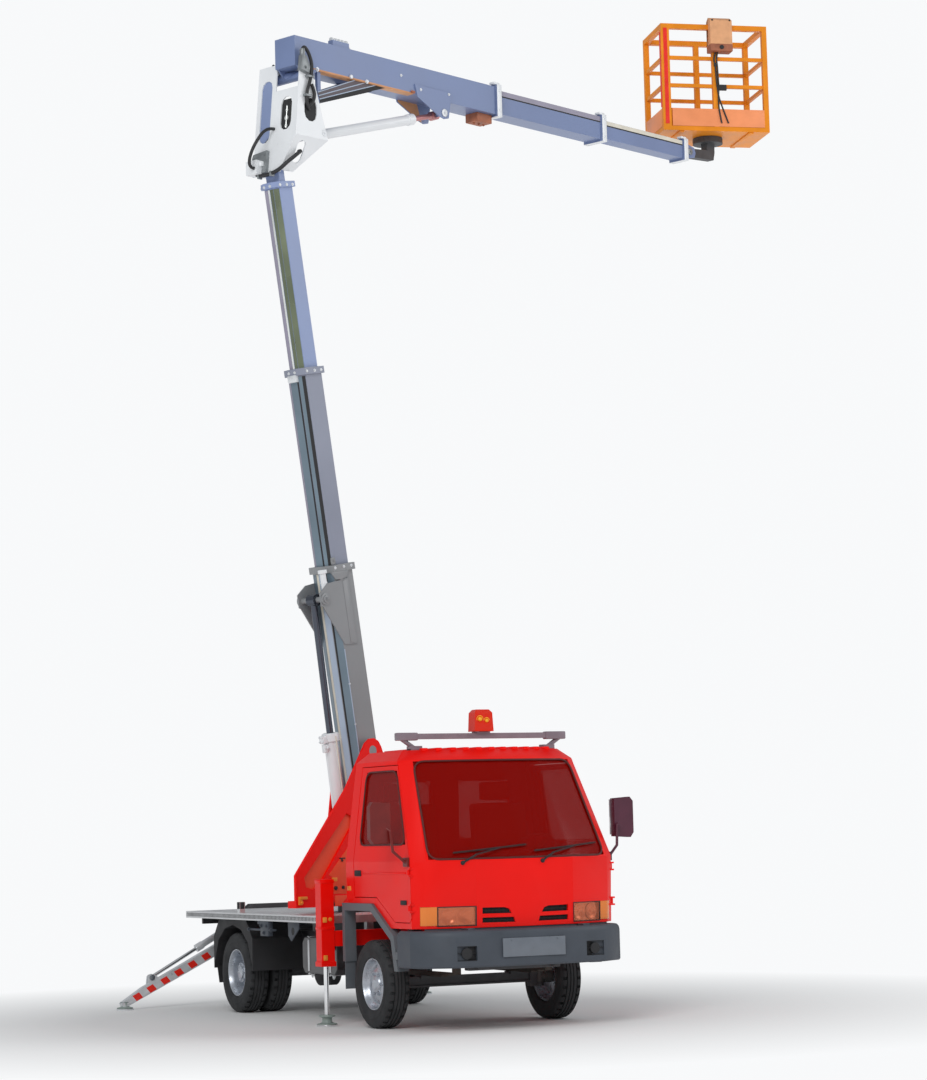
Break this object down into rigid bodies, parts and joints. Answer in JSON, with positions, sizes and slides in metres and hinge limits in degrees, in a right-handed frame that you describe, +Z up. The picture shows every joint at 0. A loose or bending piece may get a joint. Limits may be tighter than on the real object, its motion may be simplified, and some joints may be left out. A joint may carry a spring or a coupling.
{
  "type": "cherry picker truck",
  "caption": "Small truck with a telescopic boom, elbow, telescopic jib and work basket on a turret, standing on its stabiliser legs with the boom raised.",
  "frame": {"origin": "on the road below the turret's slewing axis", "axes": "+Z up, the cab looks along -Y, +X towards the truck's left side"},
  "size_m": [6.7897, 5.368, 9.5701],
  "materials": {
    "red_paint": "gloss",
    "chassis_grey": "satin",
    "spring_steel": "matt",
    "cast_parts": "rough",
    "tank_paint": "satin",
    "black_plastic": "matt",
    "deck_aluminium": "chequered",
    "tinted_glass": "tinted",
    "seat_fabric": "woven",
    "lamp_glass": "clear",
    "grey_plastic": "grained",
    "roof_bar_paint": "satin",
    "beacon_plastic": "clear",
    "boom_paint": "satin",
    "white_paint": "gloss",
    "chrome_rod": "polished",
    "hose_rubber": "matt",
    "orange_paint": "gloss",
    "console_plastic": "matt",
    "mirror_plastic": "grained",
    "tyre_rubber": "matt",
    "rim_paint": "satin",
    "leg_paint": "gloss"
  },
  "bodies": {
    "chassis": {"chassis_frame": "chassis_grey", "rear_leg_frame": "chassis_grey", "front_leg_frame": "red_paint", "front_axle": "chassis_grey", "rear_axle": "chassis_grey", "leaf_springs": "spring_steel", "driveline": "cast_parts", "fuel_tank": "tank_paint", "rear_mudguards": "black_plastic", "deck": "deck_aluminium"},
    "cab": {"cab_shell": "red_paint", "cab_glass": "tinted_glass", "seats": "seat_fabric", "dashboard": "black_plastic", "headlamps": "lamp_glass", "bumper": "grey_plastic", "arch_mouldings": "grey_plastic", "roof_bar": "roof_bar_paint", "beacon": "beacon_plastic"},
    "turret": {"turret": "red_paint"},
    "boom_base": {"boom_base": "boom_paint"},
    "boom_middle": {"boom_middle": "boom_paint"},
    "boom_top": {"boom_top": "boom_paint"},
    "lift_barrel": {"lift_barrel": "white_paint"},
    "lift_rod": {"lift_rod": "chrome_rod"},
    "elbow": {"elbow": "white_paint", "elbow_hoses": "hose_rubber"},
    "jib_base": {"jib_base": "boom_paint"},
    "jib_middle": {"jib_middle": "boom_paint"},
    "jib_tip": {"jib_tip": "boom_paint"},
    "jib_barrel": {"jib_barrel": "white_paint"},
    "jib_rod": {"jib_rod": "chrome_rod"},
    "basket_bracket": {"basket_bracket": "chassis_grey"},
    "basket": {"basket": "orange_paint", "control_box": "console_plastic"},
    "door_left": {"door_left": "red_paint", "door_glass_left": "tinted_glass", "mirror_left": "mirror_plastic"},
    "stub_left": {"stub_axle_left": "cast_parts"},
    "front_wheel_left": {"front_tyre_left": "tyre_rubber", "front_rim_left": "rim_paint"},
    "rear_wheels_left": {"rear_tyres_left": "tyre_rubber", "rear_rims_left": "rim_paint"},
    "front_leg_left": {"front_leg_left": "chrome_rod"},
    "rear_leg_left": {"rear_leg_left": "leg_paint"},
    "rear_barrel_left": {"rear_barrel_left": "leg_paint"},
    "rear_rod_left": {"rear_rod_left": "chrome_rod"},
    "door_right": {"door_right": "red_paint", "door_glass_right": "tinted_glass", "mirror_right": "mirror_plastic"},
    "stub_right": {"stub_axle_right": "cast_parts"},
    "front_wheel_right": {"front_tyre_right": "tyre_rubber", "front_rim_right": "rim_paint"},
    "rear_wheels_right": {"rear_tyres_right": "tyre_rubber", "rear_rims_right": "rim_paint"},
    "front_leg_right": {"front_leg_right": "chrome_rod"},
    "rear_leg_right": {"rear_leg_right": "leg_paint"},
    "rear_barrel_right": {"rear_barrel_right": "leg_paint"},
    "rear_rod_right": {"rear_rod_right": "chrome_rod"}
  },
  "joints": [
    {"name": "cab_tilt", "type": "hinge", "parent": "chassis", "child": "cab", "pos_m": [0, -2.7, 0.56], "axis": [1, 0, 0], "range_deg": [0, 40]},
    {"name": "door_left_hinge", "type": "hinge", "parent": "cab", "child": "door_left", "pos_m": [0.889, -2.625, 1], "axis": [0, 0, -1], "range_deg": [0, 65]},
    {"name": "steer_left", "type": "hinge", "parent": "chassis", "child": "stub_left", "pos_m": [0.64, -1.8, 0.35], "axis": [0, 0, 1], "range_deg": [-35, 35]},
    {"name": "front_wheel_left_spin", "type": "hinge", "parent": "stub_left", "child": "front_wheel_left", "pos_m": [0.763, -1.8, 0.35], "axis": [1, 0, 0], "continuous": true},
    {"name": "rear_wheels_left_spin", "type": "hinge", "parent": "chassis", "child": "rear_wheels_left", "pos_m": [0.68, 1.1, 0.35], "axis": [1, 0, 0], "continuous": true},
    {"name": "door_right_hinge", "type": "hinge", "parent": "cab", "child": "door_right", "pos_m": [-0.889, -2.625, 1], "axis": [0, 0, 1], "range_deg": [0, 65]},
    {"name": "steer_right", "type": "hinge", "parent": "chassis", "child": "stub_right", "pos_m": [-0.64, -1.8, 0.35], "axis": [0, 0, 1], "range_deg": [-35, 35]},
    {"name": "front_wheel_right_spin", "type": "hinge", "parent": "stub_right", "child": "front_wheel_right", "pos_m": [-0.763, -1.8, 0.35], "axis": [1, 0, 0], "continuous": true},
    {"name": "rear_wheels_right_spin", "type": "hinge", "parent": "chassis", "child": "rear_wheels_right", "pos_m": [-0.68, 1.1, 0.35], "axis": [1, 0, 0], "continuous": true},
    {"name": "turret_slew", "type": "hinge", "parent": "chassis", "child": "turret", "pos_m": [0, 0, 0.94], "axis": [0, 0, -1], "continuous": true},
    {"name": "boom_luff", "type": "hinge", "parent": "turret", "child": "boom_base", "pos_m": [-0.18544, -0.07492, 2.25], "axis": [-0.3746, 0.9272, 0], "range_deg": [-80, 0]},
    {"name": "lift_barrel_swing", "type": "hinge", "parent": "turret", "child": "lift_barrel", "pos_m": [-0.30597, -0.12362, 1.12], "axis": [-0.3746, 0.9272, 0], "range_deg": [-46.1, 0.1]},
    {"name": "lift_rod_slide", "type": "slide", "parent": "lift_barrel", "child": "lift_rod", "axis": [-0.1327, -0.0536, 0.9897], "range_m": [-0.9389, 0.001]},
    {"name": "boom_middle_slide", "type": "slide", "parent": "boom_base", "child": "boom_middle", "axis": [-0.1546, -0.0625, 0.986], "range_m": [-1.6, 0.1]},
    {"name": "boom_top_slide", "type": "slide", "parent": "boom_middle", "child": "boom_top", "axis": [-0.1546, -0.0625, 0.986], "range_m": [-1.5, 0.1]},
    {"name": "elbow_level", "type": "hinge", "parent": "boom_top", "child": "elbow", "pos_m": [-0.96784, -0.39103, 7.23914], "axis": [-0.3746, 0.9272, 0], "range_deg": [-0.1, 80.1]},
    {"name": "jib_raise", "type": "hinge", "parent": "elbow", "child": "jib_base", "pos_m": [-0.77257, -0.47392, 8.03914], "axis": [0.3746, -0.9272, 0], "range_deg": [0, 75]},
    {"name": "jib_barrel_swing", "type": "hinge", "parent": "elbow", "child": "jib_barrel", "pos_m": [-0.61495, -0.41024, 7.53914], "axis": [0.3746, -0.9272, 0], "range_deg": [-0.1, 65.49]},
    {"name": "jib_rod_slide", "type": "slide", "parent": "jib_barrel", "child": "jib_rod", "axis": [0.8921, 0.3604, 0.2724], "range_m": [-0.001, 0.5616]},
    {"name": "jib_middle_slide", "type": "slide", "parent": "jib_base", "child": "jib_middle", "axis": [0.9272, 0.3746, 0], "range_m": [-1.4, 0.1]},
    {"name": "jib_tip_slide", "type": "slide", "parent": "jib_middle", "child": "jib_tip", "axis": [0.9272, 0.3746, 0], "range_m": [-1.15, 0.1]},
    {"name": "basket_level", "type": "hinge", "parent": "jib_tip", "child": "basket_bracket", "pos_m": [4.28985, 1.57143, 8.21914], "axis": [0.3746, -0.9272, 0], "range_deg": [-75.1, 0.1]},
    {"name": "basket_swivel", "type": "hinge", "parent": "basket_bracket", "child": "basket", "pos_m": [4.59953, 1.69655, 8.42014], "axis": [0, 0, 1], "range_deg": [-144.4, 35.6]},
    {"name": "front_leg_left_slide", "type": "slide", "parent": "chassis", "child": "front_leg_left", "axis": [0, 0, -1], "range_m": [-0.38, 0]},
    {"name": "rear_leg_left_fold", "type": "hinge", "parent": "chassis", "child": "rear_leg_left", "pos_m": [0.35, 2.3, 0.64], "axis": [0, -1, 0], "range_deg": [0, 108]},
    {"name": "rear_barrel_left_swing", "type": "hinge", "parent": "chassis", "child": "rear_barrel_left", "pos_m": [0.2, 2.3, 0.862], "axis": [0, -1, 0], "range_deg": [-0.1, 103.18]},
    {"name": "rear_rod_left_slide", "type": "slide", "parent": "rear_barrel_left", "child": "rear_rod_left", "axis": [0.8755, 0, -0.4831], "range_m": [-0.4261, 0.001]},
    {"name": "front_leg_right_slide", "type": "slide", "parent": "chassis", "child": "front_leg_right", "axis": [0, 0, -1], "range_m": [-0.38, 0]},
    {"name": "rear_leg_right_fold", "type": "hinge", "parent": "chassis", "child": "rear_leg_right", "pos_m": [-0.35, 2.3, 0.64], "axis": [0, 1, 0], "range_deg": [0, 108]},
    {"name": "rear_barrel_right_swing", "type": "hinge", "parent": "chassis", "child": "rear_barrel_right", "pos_m": [-0.2, 2.3, 0.862], "axis": [0, 1, 0], "range_deg": [-0.1, 103.18]},
    {"name": "rear_rod_right_slide", "type": "slide", "parent": "rear_barrel_right", "child": "rear_rod_right", "axis": [-0.8755, 0, -0.4831], "range_m": [-0.4261, 0.001]}
  ],
  "couplings": [
    {"joint": "steer_right", "follows": "steer_left", "ratio": 1},
    {"joint": "lift_barrel_swing", "follows": "boom_luff", "ratio": 0.57512},
    {"joint": "lift_rod_slide", "follows": "boom_luff", "m_per_rad": 0.6711},
    {"joint": "elbow_level", "follows": "boom_luff", "ratio": -1},
    {"joint": "jib_barrel_swing", "follows": "jib_raise", "ratio": 0.87141},
    {"joint": "jib_rod_slide", "follows": "jib_raise", "m_per_rad": 0.42815},
    {"joint": "basket_level", "follows": "jib_raise", "ratio": -1},
    {"joint": "rear_barrel_left_swing", "follows": "rear_leg_left_fold", "ratio": 0.9535},
    {"joint": "rear_rod_left_slide", "follows": "rear_leg_left_fold", "m_per_rad": -0.22563},
    {"joint": "rear_barrel_right_swing", "follows": "rear_leg_right_fold", "ratio": 0.9535},
    {"joint": "rear_rod_right_slide", "follows": "rear_leg_right_fold", "m_per_rad": -0.22563}
  ]
}
